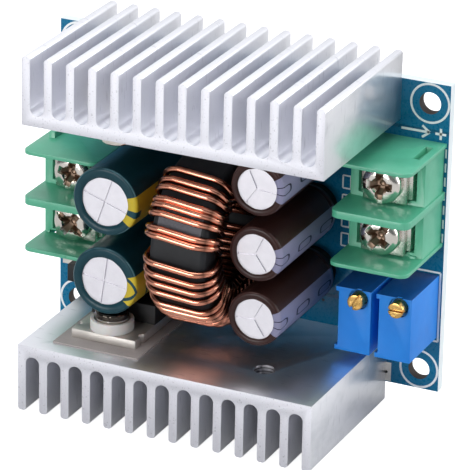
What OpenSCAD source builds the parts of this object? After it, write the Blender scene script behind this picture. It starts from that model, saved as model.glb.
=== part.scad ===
// Step-down power supply module: a circuit board standing on edge between two finned heatsinks, with screw
// terminals, a toroid choke, five electrolytic capacitors, two trimmers and two power transistors.
// Frame: X along the board, +Y towards the board's solder side, +Z up, standing on the lower fin tips.

/* [Board] */
// Width of the board along X
board_w = 60; // [60:0.5:64]
// Height of the board along Z
board_h = 46; // [45:0.5:47]
// Thickness of the board
board_t = 1.6; // [1.2:0.1:2]
// Diameter of the four corner holes
hole_d = 3.2; // [2.8:0.1:3.4]
// Distance of each corner hole's centre from the two nearest edges
hole_inset = 3; // [2.8:0.1:3.4]
// How far the cut leads stand out of the solder side
lead_stub = 1.1; // [0.8:0.1:1.2]

/* [Heatsinks] */
// Width of each heatsink along X
sink_w = 45; // [44:0.5:46]
// Height of each heatsink from its flat face to the fin tips
sink_h = 10; // [9:0.5:12]
// Length of each heatsink, out from the board
sink_len = 26.5; // [26:0.5:30]
// Number of fins on each heatsink
fin_count = 14; // [14:2:16]
// Thickness of one fin
fin_t = 1.25; // [1.1:0.05:1.4]
// Thickness of the plate under the fins, at the bottom of a slot
plate_t = 1.6; // [1.4:0.1:2]
// Clear height between the two flat faces
sink_gap = 33; // [33:0.1:33.4]
// Height of the board's middle above the lower flat face
board_rise = 16; // [16:0.1:16.2]
// Place of the upper heatsink's middle along X
upper_sink_x = 0.2; // [-0.1:0.1:0.4]
// Place of the lower heatsink's middle along X
lower_sink_x = -0.5; // [-0.7:0.1:0]
// Diameter of the tapped holes in the flat faces
tap_d = 3; // [3:0.05:3.1]
// Distance of the tapped holes from the board
tap_out = 18.4; // [18.2:0.1:18.8]

/* [Terminals] */
// Spacing of the two ways of a terminal
way_pitch = 7.62; // [7.5:0.02:7.7]
// Width of a terminal's dividers along X
divider_w = 11.6; // [11.5:0.05:11.65]
// Height of the dividers out from the board
divider_h = 13.5; // [13:0.1:14]
// Thickness of the middle divider, where an end one has half of it
divider_t = 1.1; // [1:0.05:1.2]
// Width of the housing between the dividers
block_w = 11; // [10.8:0.1:11.1]
// Height of the housing between the dividers
block_h = 6.9; // [6.6:0.1:7.1]
// Middle of the input terminal along X
input_x = -23.4; // [-23.5:0.05:-23.4]
// Middle of the input terminal, up from the board's middle
input_up = -0.1; // [-0.5:0.1:0.3]
// Middle of the output terminal along X
output_x = 23.95; // [23.8:0.05:24]
// Middle of the output terminal, up from the board's middle
output_up = 6.9; // [6.5:0.1:7.1]
// Diameter of a terminal screw's head
clamp_head_d = 5.6; // [5.4:0.1:5.8]
// Height of a terminal screw's head
clamp_head_h = 2.1; // [1.8:0.1:2.3]
// Thickness of a square clamp washer
washer_t = 0.9; // [0.8:0.05:1]

/* [Choke] */
// Outer diameter of the core
core_od = 23.2; // [22.8:0.1:23.2]
// Inner diameter of the core
core_id = 14.4; // [14.2:0.1:14.8]
// Width of the core along its axis
core_w = 8.4; // [8.2:0.1:8.6]
// Diameter of the wire
wire_d = 0.95; // [0.85:0.01:0.95]
// Middle of the choke along X
choke_x = 0.35; // [0.2:0.05:0.6]
// Middle of the choke, up from the board's middle
choke_up = 0.4; // [0:0.1:0.8]

/* [Capacitors] */
// Diameter of an input capacitor
input_cap_d = 10; // [9.6:0.1:10]
// Height of an input capacitor
input_cap_h = 20.9; // [20:0.1:22]
// Middle of the input capacitors along X
input_cap_x = -12.35; // [-12.35:0.05:-12]
// Middle of the lower input capacitor, up from the board's middle
input_cap_up = -6.45; // [-6.45:0.05:-6.2]
// Spacing of the input capacitors
input_cap_pitch = 11.9; // [11.8:0.1:12.2]
// Diameter of an output capacitor
output_cap_d = 8; // [7.8:0.05:8]
// Height of an output capacitor
output_cap_h = 20.4; // [19.5:0.1:21.5]
// Middle of the output capacitors along X
output_cap_x = 10.4; // [10.4:0.05:10.8]
// Middle of the lowest output capacitor, up from the board's middle
output_cap_up = -7.8; // [-8:0.1:-7.6]
// Spacing of the output capacitors
output_cap_pitch = 9.62; // [9.5:0.02:9.7]

/* [Trimmers] */
// Width of a trimmer along X
trim_w = 4.83; // [4.7:0.01:5]
// Height of a trimmer along Z
trim_h = 9.53; // [9.4:0.01:9.6]
// Depth of a trimmer out from the board
trim_d = 10.03; // [9.8:0.01:10.4]
// Middle of the first trimmer along X
trim_x = 21; // [20.8:0.05:21.2]
// Spacing of the trimmers
trim_pitch = 6.05; // [5.9:0.05:6.05]
// Middle of the trimmers, up from the board's middle
trim_up = -9.95; // [-10.1:0.05:-9.7]
// Diameter of a trimmer's screw
trim_screw_d = 2.3; // [2.2:0.02:2.4]
// How far a trimmer's screw stands out of its case
trim_screw_out = 1.3; // [1:0.1:1.6]

/* [Transistors] */
// Width of a transistor
case_w = 10; // [9.8:0.1:10.2]
// Thickness of a transistor's tab
tab_t = 1.3; // [1.2:0.05:1.4]
// Thickness of a whole transistor
case_t = 4.2; // [4:0.05:4.3]
// Thickness of the insulating pad
pad_t = 0.25; // [0.2:0.05:0.25]
// Height of the insulating bush's flange above the tab
bush_h = 1.6; // [1.5:0.05:1.65]
// Diameter of the transistor screws' heads
tab_head_d = 4.8; // [4.6:0.1:5]

/* [Small parts] */
// Thickness of the control chips
chip_t = 1.7; // [1.5:0.05:1.75]

/* [Hidden] */
$fn = 48;
// A cut overlaps the face it opens by this much
eps = 0.5;
// Space round a lead in its hole, and round a wire on the core's curved faces
lead_clear = 0.15;
wire_clear = 0.25;

// The whole depth, and the board's component face in the part's frame
back_h = max(chip_t, lead_stub + 0.4);
depth = sink_len + board_t + back_h;
face_y = depth / 2 - back_h - board_t;
lower_face = sink_h;
upper_face = lower_face + sink_gap;
board_mid = lower_face + board_rise;
board_lift = board_mid - board_h / 2;
low_edge = -board_h / 2;
high_edge = board_h / 2;

// Heatsink fins, with the tapped holes under the fourth fin from each side's middle
fin_pitch = (sink_w - fin_t) / (fin_count - 1);
slot_r = (fin_pitch - fin_t) / 2;
tip_r = fin_t * 0.36;
tap_x = 3.5 * fin_pitch;
tap_depth = 6;

// Terminals: the contact lies in a pocket, the washer on the contact and the screw's head on the washer
end_t = divider_t / 2;
end_face = way_pitch + 0.05;
key_x = 4.2;
key_w = 1.1;
key_deep = 1;
key_fit = 0.1;
key_out = [2.4, 7.4];
contact_t = 0.8;
contact_w = 4.8;
contact_l = 7.6;
contact_proud = 0.2;
contact_leg = 0.7;
pocket_clear = 0.2;
slot_x = contact_l / 2 + 0.5;
clamp_r = 1.45;
clamp_clear = 0.15;
clamp_bore_r = clamp_r + 0.4;
contact_face = block_h + contact_proud;
head_face = contact_face + washer_t;
washer_x = 6.4;
washer_y = way_pitch - divider_t - 0.6;
pin_r = 0.6;
pin_x = contact_l / 2 - contact_leg / 2;

// Choke: the wire's middle runs round the core on a rounded rectangle, flat on the core's two end faces
wire_r = wire_d / 2;
wire_sides = 8;
wire_flat = wire_r * cos(180 / wire_sides);
wire_x = core_w / 2 + wire_flat;
wire_in = core_id / 2 - wire_clear - wire_r;
wire_out = core_od / 2 + wire_clear + wire_r;
wire_bend = 1.3;
choke_out = wire_out + wire_r + 0.1;
// Angles are from straight out of the board; the ends leave the core towards the board, this far to each side
end_angle = 7;
bend_steps = 2;

// Capacitors
sleeve_t = 0.2;
sleeve_gap = 0.1;
// Rounding of the can's shoulder; the sleeve goes round it by its own thickness
can_shoulder = 0.3;
// Radius of the sleeve's opening over the can's end, as a share of the capacitor's own
input_open = 0.71;
output_open = 0.74;
bung_h = 1.9;
sleeve_start = bung_h + 0.3;
input_lead_r = 0.3;
input_lead_pitch = 5;
output_lead_r = 0.3;
output_lead_pitch = 3.5;

// Trimmers
trim_pin_r = 0.25;
trim_pin_pitch = 2.54;
trim_screw_x = 0.5;
trim_screw_up = 3.35;
trim_screw_deep = 3;
trim_fit = 0.05;

// Transistors, measured from the hole in the tab
tab_front = 2.8;
tab_l = 15.5;
case_front = 3.5;
case_l = 9.2;
case_dimple_r = 0.8;
case_dimple_in = 1.5;
case_dimple_deep = 0.15;
tab_hole_r = 1.9;
tab_notch_y = -0.65;
tab_notch_r = 0.55;
case_lead_z = 2.4;
case_lead_w = 0.8;
case_lead_t = 0.5;
case_lead_pitch = 2.54;
tab_screw_r = tap_d / 2 - 0.05;
tab_head_h = 1.9;
tab_head_ease = 0.45;
tab_screw_deep = 4.5;
pad_w = case_w + 3.2;
pad_l = tab_l + 3;
pad_front = tab_front + 2.6;
bush_d = 6.2;
bush_sink = 0.6;

// Small parts. Their places up the board are from its lower edge, apart from the resistor's, from the upper edge
diode_place = [-25.45, 7.9];
diode_l = 4.3;
diode_w = 2.6;
diode_h = 2.4;
foot_t = 0.2;
chip_w = 3.9;
foot_pitch = 1.27;
foot_w = 0.4;
foot_l = 1.1;
control_l = 8.7;
control_place = [-1, 8];
amplifier_l = 4.9;
amplifier_place = [15.2, 7.8];
resistor_l = 6.4;
resistor_w = 3.2;
resistor_t = 0.6;
resistor_place = [2, 7.5];
part_l = 2;
part_w = 1.25;
part_t = 0.55;
part_places = [[-8.2, 5.4], [-8.2, 3], [6.2, 10.6], [6.2, 8.2], [6.2, 5.8], [8.6, 3.4],
  [15.2, 2.6], [19.4, 5.6], [19.4, 3], [-1, 2.6], [2.4, 2.6], [-3.2, 13.4]];
solder_foot = 0.6;
solder_top = 0.25;
solder_cap = 0.35;

// Every lead that goes through the board: place along X, place up the board, radius of the lead
function terminal_pins(x, up, side) = [for (k = [-0.5, 0.5]) [x + side * pin_x, up + k * way_pitch, pin_r]];
function cap_leads(x, up, pitch, n, lead_pitch, r) =
  [for (i = [0 : n - 1], k = [-0.5, 0.5]) [x, up + i * pitch + k * lead_pitch, r]];
function case_leads(x, up) = [for (k = [-1, 0, 1]) [x + k * case_lead_pitch, up, case_lead_w / 2 + 0.07]];
input_cap_spots = cap_leads(input_cap_x, input_cap_up, input_cap_pitch, 2, input_lead_pitch, input_lead_r);
output_cap_spots = cap_leads(output_cap_x, output_cap_up, output_cap_pitch, 3, output_lead_pitch, output_lead_r);
trim_spots = [for (i = [0, 1], k = [-1, 0, 1]) [trim_x + i * trim_pitch, trim_up + k * trim_pin_pitch, trim_pin_r]];
lower_case_up = lower_face + pad_t + case_lead_z - board_mid;
upper_case_up = upper_face - case_lead_z - board_mid;
choke_spots = [for (s = [-1, 1]) [choke_x + s * wire_x, choke_up + s * wire_out * sin(end_angle), wire_r]];
lead_spots = concat(
  terminal_pins(input_x, input_up, -1), terminal_pins(output_x, output_up, 1),
  input_cap_spots, output_cap_spots, trim_spots, choke_spots,
  case_leads(lower_sink_x - tap_x, lower_case_up), case_leads(upper_sink_x - tap_x, upper_case_up)
);

// Turns board places into the part's frame: x along the board, y up from its middle, z out of its face
module on_board(x = 0, up = 0) {
  translate([0, face_y, board_mid]) rotate([90, 0, 0]) translate([x, up, 0]) children();
}

// Turns places at a transistor's hole into the part's frame: y towards the board, z away from the flat face
module on_lower_sink() {
  translate([lower_sink_x - tap_x, face_y - tap_out, lower_face]) children();
}

module on_upper_sink() {
  translate([upper_sink_x - tap_x, face_y - tap_out, upper_face]) mirror([0, 0, 1]) children();
}

// A bar with rounded ends on its far side, drawn in the plane
module rounded_bar(w, h, r) {
  translate([-w / 2, 0]) square([w, h - r]);
  translate([-w / 2 + r, 0]) square([w - 2 * r, h]);
  for (s = [-1, 1]) translate([s * (w / 2 - r), h - r]) circle(r);
}

// Half the outline of a round can with a soft shoulder, for turning
module can_outline(r, h, shoulder) {
  square([r, h - shoulder]);
  square([r - shoulder, h]);
  translate([r - shoulder, h - shoulder]) circle(shoulder);
}

module circuit_board() {
  color("#0d7fa8") difference() {
    translate([-board_w / 2, face_y, board_lift]) cube([board_w, board_t, board_h]);
    on_board() {
      for (sx = [-1, 1], sy = [-1, 1])
        translate([sx * (board_w / 2 - hole_inset), sy * (board_h / 2 - hole_inset), -board_t - eps])
          cylinder(d = hole_d, h = board_t + 2 * eps);
      for (s = lead_spots)
        translate([s[0], s[1], -board_t - eps]) cylinder(r = s[2] + lead_clear, h = board_t + 2 * eps);
    }
  }
}

// The extrusion, fins up from a plate whose flat face is at z = 0, with two tapped holes into that face
module heatsink() {
  difference() {
    rotate([90, 0, 0]) linear_extrude(sink_len) union() {
      difference() {
        translate([-sink_w / 2, 0]) square([sink_w, sink_h - 2]);
        for (i = [0 : fin_count - 2]) translate([(i - fin_count / 2 + 1) * fin_pitch, plate_t + slot_r]) {
          circle(slot_r);
          translate([-slot_r, 0]) square([2 * slot_r, sink_h]);
        }
      }
      for (i = [0 : fin_count - 1])
        translate([(i - fin_count / 2 + 0.5) * fin_pitch, sink_h - 2.5]) rounded_bar(fin_t, 2.5, tip_r);
    }
    for (s = [-1, 1]) translate([s * tap_x, -tap_out, -eps]) cylinder(d = tap_d, h = tap_depth + eps);
  }
}

module upper_heatsink() {
  color("#d9dadd") translate([upper_sink_x, face_y, upper_face]) heatsink();
}

module lower_heatsink() {
  color("#d9dadd") translate([lower_sink_x, face_y, lower_face]) mirror([0, 0, 1]) heatsink();
}

// A plate across the terminal that keeps two ways apart, its lower side away by the given thickness
module divider(thick) {
  rotate([90, 0, 0]) linear_extrude(thick) rounded_bar(divider_w, divider_h, 1.3);
}

// A moulded two-way housing with three dividers, pockets for the contacts, bores for the screws' tails
// and, to join it to the next one, a slot in one side and a tongue on the other
module terminal_housing(side) {
  difference() {
    union() {
      translate([-block_w / 2, -way_pitch, 0]) cube([block_w, 2 * way_pitch, block_h]);
      translate([0, divider_t / 2, 0]) divider(divider_t);
      translate([0, end_face, 0]) divider(end_t);
      translate([0, end_t - end_face, 0]) divider(end_t);
      translate([side * key_x, -side * end_face, (key_out[0] + key_out[1]) / 2])
        cube([key_w - 2 * key_fit, 2 * (key_deep - key_fit), key_out[1] - key_out[0] - 2 * key_fit], center = true);
    }
    for (k = [-0.5, 0.5]) translate([0, k * way_pitch, 0]) {
      translate([-slot_x, -contact_w / 2 - pocket_clear, contact_face - contact_t])
        cube([2 * slot_x, contact_w + 2 * pocket_clear, contact_t + eps]);
      for (s = [-1, 1]) translate([s * (slot_x + pin_x - 0.45) / 2, 0, contact_face - 2.25])
        cube([slot_x - pin_x + 0.45, contact_w + 2 * pocket_clear, 4.5], center = true);
      translate([0, 0, 1]) cylinder(r = clamp_bore_r, h = block_h);
      translate([side * pin_x, 0, -eps]) cylinder(r = pin_r + lead_clear, h = block_h);
    }
    translate([side * key_x, side * end_face, (key_out[0] + key_out[1]) / 2])
      cube([key_w, 2 * key_deep, key_out[1] - key_out[0]], center = true);
  }
}

module input_terminal_housing() {
  color("#4bab7c") on_board(input_x, input_up) terminal_housing(-1);
}

module output_terminal_housing() {
  color("#4bab7c") on_board(output_x, output_up) terminal_housing(1);
}

// Two staple-shaped contacts, each with one round pin through the board
module terminal_contacts(side) {
  for (k = [-0.5, 0.5]) translate([0, k * way_pitch, 0]) difference() {
    union() {
      translate([-contact_l / 2, -contact_w / 2, contact_face - contact_t]) cube([contact_l, contact_w, contact_t]);
      for (s = [-1, 1]) translate([s * pin_x - contact_leg / 2, -contact_w / 2, contact_face - 4])
        cube([contact_leg, contact_w, 4]);
      translate([side * pin_x, 0, -board_t - lead_stub]) cylinder(r = pin_r, h = board_t + lead_stub + block_h - 3);
    }
    cylinder(r = clamp_r + clamp_clear, h = block_h + 2);
  }
}

module input_terminal_contacts() {
  color("#d5d2cc") on_board(input_x, input_up) terminal_contacts(-1);
}

module output_terminal_contacts() {
  color("#d5d2cc") on_board(output_x, output_up) terminal_contacts(1);
}

// A square washer that stays on the screw and presses the wire on the contact
module clamp_washer() {
  translate([0, 0, contact_face]) difference() {
    translate([-washer_x / 2, -washer_y / 2, 0]) cube([washer_x, washer_y, washer_t]);
    translate([0, 0, -eps]) cylinder(r = clamp_r + clamp_clear, h = washer_t + 2 * eps);
  }
}

module input_washer_upper() {
  color("#c9c6c0") on_board(input_x, input_up + way_pitch / 2) clamp_washer();
}

module input_washer_lower() {
  color("#c9c6c0") on_board(input_x, input_up - way_pitch / 2) clamp_washer();
}

module output_washer_upper() {
  color("#c9c6c0") on_board(output_x, output_up + way_pitch / 2) clamp_washer();
}

module output_washer_lower() {
  color("#c9c6c0") on_board(output_x, output_up - way_pitch / 2) clamp_washer();
}

// A pan-head screw with a cross recess and one longer slot, turned by a few degrees as it was left
module clamp_screw(turn) {
  rotate(turn) difference() {
    union() {
      translate([0, 0, head_face]) rotate_extrude() intersection() {
        can_outline(clamp_head_d / 2, clamp_head_h, 0.9);
        square([clamp_head_d, clamp_head_h]);
      }
      translate([0, 0, 1.6]) cylinder(r = clamp_r, h = head_face - 1.6 + 0.2);
    }
    translate([0, 0, head_face + clamp_head_h]) {
      cube([3.7, 0.85, 2.2], center = true);
      cube([0.85, 3.7, 2.2], center = true);
      cube([clamp_head_d + 1, 0.8, 1.1], center = true);
    }
  }
}

module input_screw_upper() {
  color("#dcd6cc") on_board(input_x, input_up + way_pitch / 2) clamp_screw(75);
}

module input_screw_lower() {
  color("#dcd6cc") on_board(input_x, input_up - way_pitch / 2) clamp_screw(-37);
}

module output_screw_upper() {
  color("#dcd6cc") on_board(output_x, output_up + way_pitch / 2) clamp_screw(90);
}

module output_screw_lower() {
  color("#dcd6cc") on_board(output_x, output_up - way_pitch / 2) clamp_screw(55);
}

module on_choke() {
  on_board(choke_x, choke_up) translate([0, 0, choke_out]) children();
}

module choke_core() {
  color("#1d1d1f") on_choke() rotate([0, 90, 0]) rotate_extrude($fn = 96)
    translate([core_id / 2, -core_w / 2]) {
      h = core_od / 2 - core_id / 2;
      translate([0.8, 0]) square([h - 1.6, core_w]);
      translate([0, 0.8]) square([h, core_w - 1.6]);
      for (x = [0.8, h - 0.8], y = [0.8, core_w - 0.8]) translate([x, y]) circle(0.8);
    }
}

// The wire's path. A turn goes in along the right face, through the eye, out along the left face and back
// across the rim to the next turn. The rim angles of the thirteen wires in front are where the photo shows them.
rim_front = [297.5, 304.7, 310, 318.8, 323.6, 331, 339.3, 344.1, 362, 369.5, 375.4, 381.5, 391];
rim_angles = concat([for (i = [0 : 9]) 196 + i * 10.2], rim_front, [for (i = [0 : 11]) 400 + i * 10.4]);
rim_skew = 1.7;
turns = len(rim_angles) + 1;
turn_step = (360 - 2 * end_angle) / turns;
function inner_angle(i) = 180 + end_angle + (i + 0.5) * turn_step;
function wire_point(x, r, a) = [x, -r * sin(a), r * cos(a)];
function wire_normal(c, a) = [cos(c), -sin(c) * sin(a), sin(c) * cos(a)];
// One rounded corner: its middle, the directions it turns through and the angle round the core
function wire_corner(x, r, from, to, a0, a1) = [for (j = [0 : bend_steps])
  let (c = from + (to - from) * j / bend_steps, a = a0 + (a1 - a0) * j / bend_steps)
  [wire_point(x + wire_bend * cos(c), r + wire_bend * sin(c), a), wire_normal(c, a)]];
function wire_turn(i) =
  let (left = -wire_x + wire_bend, right = wire_x - wire_bend, low = wire_in + wire_bend, high = wire_out - wire_bend,
    inner = inner_angle(i), rim = rim_angles[min(i, turns - 2)])
  concat(
    wire_corner(right, low, 360, 270, inner, inner),
    wire_corner(left, low, 270, 180, inner, inner),
    i == turns - 1 ? [] : wire_corner(left, high, 180, 90, rim - rim_skew, rim - rim_skew * 0.7),
    i == turns - 1 ? [] : wire_corner(right, high, 90, 0, rim + rim_skew * 0.7, rim + rim_skew)
  );
// The two ends run along the faces towards the board and straight through it
function wire_end(s, z) = [[s * wire_x, s * wire_out * sin(end_angle), z], [s, 0, 0]];
wire_path = concat(
  [for (z = [-board_t - lead_stub - choke_out, -choke_out, -wire_in - 2.6]) wire_end(1, z)],
  [for (i = [0 : turns - 1]) each wire_turn(i)],
  [for (z = [-wire_in - 2.6, -choke_out, -board_t - lead_stub - choke_out]) wire_end(-1, z)]
);
function unit(v) = v / norm(v);
// Rings of points round the path, each square to it, with one flat side towards the core
wire_rings = [for (i = [0 : len(wire_path) - 1])
  let (before = wire_path[max(i - 1, 0)][0], after = wire_path[min(i + 1, len(wire_path) - 1)][0],
    along = unit(after - before), side = unit(cross(along, wire_path[i][1])), out = cross(side, along))
  for (k = [0 : wire_sides - 1]) let (c = (k + 0.5) * 360 / wire_sides)
    wire_path[i][0] + wire_r * (cos(c) * out + sin(c) * side)];
wire_faces = concat(
  [[for (k = [0 : wire_sides - 1]) k]],
  [for (i = [0 : len(wire_path) - 2], k = [0 : wire_sides - 1], half = [0, 1])
    let (a = i * wire_sides + k, b = i * wire_sides + (k + 1) % wire_sides)
    half == 0 ? [a, a + wire_sides, b] : [b, a + wire_sides, b + wire_sides]],
  [[for (k = [wire_sides - 1 : -1 : 0]) (len(wire_path) - 1) * wire_sides + k]]
);

module choke_winding() {
  color("#d8763a") on_choke() polyhedron(wire_rings, wire_faces);
}

// A drawn can, solid here, with vent grooves pressed into its end
module capacitor_can(d, h, rays, turn) {
  r = d / 2 - sleeve_t - sleeve_gap;
  top = h - sleeve_t;
  difference() {
    translate([0, 0, bung_h]) rotate_extrude() difference() {
      intersection() {
        can_outline(r, top - bung_h, can_shoulder);
        square([r, top]);
      }
      translate([r + 0.35, 1.4]) circle(0.8);
    }
    translate([0, 0, top]) for (i = [0 : rays - 1]) rotate(i * 360 / rays + turn)
      translate([0, -0.15, -0.2]) cube([d * 0.34, 0.3, 1]);
  }
}

// The shrunk sleeve, down the can's side and over its shoulder, and in at the can's groove
module capacitor_sleeve(d, h, open) {
  r = d / 2;
  groove = bung_h + 1.4 - sleeve_start;
  translate([0, 0, sleeve_start]) rotate_extrude() difference() {
    intersection() {
      can_outline(r, h - sleeve_start, can_shoulder + sleeve_t);
      square([r, h]);
    }
    difference() {
      translate([-eps, -eps]) can_outline(r - sleeve_t + eps, h - sleeve_start - sleeve_t + eps, can_shoulder);
      translate([r + 0.35, groove]) circle(0.7);
    }
    translate([-eps, 0]) square([r * open + eps, h]);
    translate([r + 0.35, groove]) circle(0.45);
  }
}

module capacitor_bung(d) {
  cylinder(r = d / 2 - sleeve_t - 0.4, h = bung_h);
}

module board_leads(spots) {
  for (s = spots) translate([s[0], s[1], -board_t - lead_stub]) cylinder(r = s[2], h = board_t + lead_stub);
}

module input_can(i, turn) {
  color("#e8e8ec") on_board(input_cap_x, input_cap_up + i * input_cap_pitch)
    capacitor_can(input_cap_d, input_cap_h, 4, turn);
}

module input_can_upper() {
  input_can(1, 71);
}

module input_can_lower() {
  input_can(0, 82);
}

module input_sleeve(i) {
  color("#1f4a57") on_board(input_cap_x, input_cap_up + i * input_cap_pitch)
    capacitor_sleeve(input_cap_d, input_cap_h, input_open);
}

module input_sleeve_upper() {
  input_sleeve(1);
}

module input_sleeve_lower() {
  input_sleeve(0);
}

module input_capacitor_bungs() {
  color("#2a2a2a") for (i = [0, 1]) on_board(input_cap_x, input_cap_up + i * input_cap_pitch)
    capacitor_bung(input_cap_d);
}

module input_capacitor_leads() {
  color("#c9c9c9") on_board() board_leads(input_cap_spots);
}

module output_can(i, turn) {
  color("#e8e8ec") on_board(output_cap_x, output_cap_up + i * output_cap_pitch)
    capacitor_can(output_cap_d, output_cap_h, 3, turn);
}

module output_can_upper() {
  output_can(2, -5);
}

module output_can_middle() {
  output_can(1, 186);
}

module output_can_lower() {
  output_can(0, 183);
}

module output_sleeve(i) {
  color("#3a2420") on_board(output_cap_x, output_cap_up + i * output_cap_pitch)
    capacitor_sleeve(output_cap_d, output_cap_h, output_open);
}

module output_sleeve_upper() {
  output_sleeve(2);
}

module output_sleeve_middle() {
  output_sleeve(1);
}

module output_sleeve_lower() {
  output_sleeve(0);
}

module output_capacitor_bungs() {
  color("#2a2a2a") for (i = [0 : 2]) on_board(output_cap_x, output_cap_up + i * output_cap_pitch)
    capacitor_bung(output_cap_d);
}

module output_capacitor_leads() {
  color("#c9c9c9") on_board() board_leads(output_cap_spots);
}

// A multi-turn trimmer's case with the screw's bore near the top of its face, and two small ribs along its left edges
module trimmer_case() {
  difference() {
    union() {
      translate([-trim_w / 2, -trim_h / 2, 0]) cube([trim_w, trim_h, trim_d]);
      for (s = [-1, 1]) translate([-trim_w / 2 - 0.45, s * (trim_h / 2 - 0.35) - 0.35, 0]) cube([0.9, 0.7, trim_d]);
    }
    translate([trim_screw_x, trim_screw_up, trim_d]) {
      translate([0, 0, -0.5]) cylinder(r = trim_screw_d / 2 + 0.3, h = 1);
      translate([0, 0, -trim_screw_deep]) cylinder(r = trim_screw_d / 2 + trim_fit, h = trim_screw_deep);
    }
  }
}

module trimmer_screw(turn) {
  translate([trim_screw_x, trim_screw_up, trim_d]) rotate(turn) difference() {
    translate([0, 0, -trim_screw_deep]) cylinder(d = trim_screw_d, h = trim_screw_deep + trim_screw_out);
    translate([0, 0, trim_screw_out]) cube([trim_screw_d + 1, 0.5, 1.4], center = true);
  }
}

module left_trimmer_case() {
  color("#2a72d8") on_board(trim_x, trim_up) trimmer_case();
}

module right_trimmer_case() {
  color("#2a72d8") on_board(trim_x + trim_pitch, trim_up) trimmer_case();
}

module left_trimmer_screw() {
  color("#d9a74e") on_board(trim_x, trim_up) trimmer_screw(59);
}

module right_trimmer_screw() {
  color("#d9a74e") on_board(trim_x + trim_pitch, trim_up) trimmer_screw(2);
}

module trimmer_pins() {
  color("#c9c9c9") on_board() board_leads(trim_spots);
}

// A transistor lies flat: the metal tab on the heatsink, the moulded body on the tab, three leads to the board
module transistor_tab() {
  difference() {
    translate([-case_w / 2, -tab_front, 0]) cube([case_w, tab_l, tab_t]);
    translate([0, 0, -eps]) cylinder(r = tab_hole_r, h = tab_t + 2 * eps);
    for (s = [-1, 1]) translate([s * case_w / 2, tab_notch_y, -eps])
      cylinder(r = tab_notch_r, h = tab_t + 2 * eps);
  }
}

module transistor_body() {
  translate([-case_w / 2, case_front, tab_t]) difference() {
    cube([case_w, case_l, case_t - tab_t]);
    translate([case_w / 2, case_dimple_in, case_t - tab_t - case_dimple_deep])
      cylinder(r = case_dimple_r, h = case_dimple_deep + eps);
  }
}

module transistor_leads() {
  reach = tap_out - case_front - case_l;
  for (k = [-1, 0, 1]) translate([k * case_lead_pitch, case_front + case_l, case_lead_z]) {
    translate([-0.6, 0, -case_lead_t / 2]) cube([1.2, reach * 0.5, case_lead_t]);
    translate([-case_lead_w / 2, 0, -case_lead_t / 2]) cube([case_lead_w, reach + board_t + lead_stub, case_lead_t]);
  }
}

// A pan-head screw from the given height down into the heatsink
module tab_screw(under) {
  difference() {
    union() {
      translate([0, 0, under]) rotate_extrude() intersection() {
        can_outline(tab_head_d / 2, tab_head_h, tab_head_ease);
        square([tab_head_d, tab_head_h]);
      }
      translate([0, 0, -tab_screw_deep]) cylinder(r = tab_screw_r, h = under + tab_screw_deep + 0.2);
    }
    translate([0, 0, under + tab_head_h]) rotate(30) {
      cube([3.2, 0.75, 2.2], center = true);
      cube([0.75, 3.2, 2.2], center = true);
    }
  }
}

module lower_transistor_tab() {
  color("#c3c1bd") on_lower_sink() translate([0, 0, pad_t]) transistor_tab();
}

module lower_transistor_body() {
  color("#1c1c1e") on_lower_sink() translate([0, 0, pad_t]) transistor_body();
}

module lower_transistor_leads() {
  color("#c9c9c9") on_lower_sink() translate([0, 0, pad_t]) transistor_leads();
}

module insulating_pad() {
  color("#9a9390") on_lower_sink() difference() {
    translate([-pad_w / 2, -pad_front, 0]) cube([pad_w, pad_l, pad_t]);
    translate([0, 0, -eps]) cylinder(r = tab_hole_r, h = 2);
  }
}

module insulating_bush() {
  color("#f2f2f0") on_lower_sink() translate([0, 0, pad_t + tab_t]) difference() {
    union() {
      cylinder(d = bush_d, h = bush_h);
      translate([0, 0, -tab_t + 0.1]) cylinder(r = tab_hole_r - 0.1, h = tab_t);
    }
    translate([0, 0, -tab_t - eps]) cylinder(r = tab_screw_r + 0.1, h = tab_t + bush_h + 2 * eps);
    translate([0, 0, bush_h - bush_sink]) cylinder(d = tab_head_d + 0.3, h = bush_h);
  }
}

module lower_transistor_screw() {
  color("#c8c4bc") on_lower_sink() tab_screw(pad_t + tab_t + bush_h - bush_sink);
}

module upper_transistor_tab() {
  color("#c3c1bd") on_upper_sink() transistor_tab();
}

module upper_transistor_body() {
  color("#1c1c1e") on_upper_sink() transistor_body();
}

module upper_transistor_leads() {
  color("#c9c9c9") on_upper_sink() transistor_leads();
}

module upper_transistor_screw() {
  color("#c8c4bc") on_upper_sink() tab_screw(tab_t);
}

// The moulded diode under the input terminal, with its two folded feet
module input_diode() {
  color("#1c1c1e") on_board(diode_place[0], low_edge + diode_place[1]) {
    translate([-diode_l / 2, -diode_w / 2, foot_t]) cube([diode_l, diode_w, diode_h - foot_t]);
    for (s = [-1, 1]) translate([s * diode_l / 2 - foot_l / 2, -diode_w * 0.35, 0])
      cube([foot_l, diode_w * 0.7, foot_t]);
  }
}

// Turns places on the solder side into the part's frame, with z out of that side
module on_back(x, up) {
  on_board(x, up) translate([0, 0, -board_t]) mirror([0, 0, 1]) children();
}

// A small-outline chip with gull-wing feet along two sides
module outline_chip(l, feet) {
  translate([-l / 2, -chip_w / 2, foot_t - 0.05]) cube([l, chip_w, chip_t - foot_t + 0.05]);
  for (i = [0 : feet - 1], s = [-1, 1])
    translate([(i - (feet - 1) / 2) * foot_pitch - foot_w / 2, s * (chip_w + foot_l) / 2 - foot_l / 2, 0])
      cube([foot_w, foot_l, foot_t]);
}

module control_chip() {
  color("#1c1c1e") on_back(control_place[0], low_edge + control_place[1]) outline_chip(control_l, 7);
}

module amplifier_chip() {
  color("#1c1c1e") on_back(amplifier_place[0], low_edge + amplifier_place[1]) outline_chip(amplifier_l, 4);
}

module sense_resistor() {
  color("#2a2a2a") on_back(resistor_place[0], high_edge - resistor_place[1])
    translate([-resistor_l / 2, -resistor_w / 2, 0]) cube([resistor_l, resistor_w, resistor_t]);
}

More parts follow.
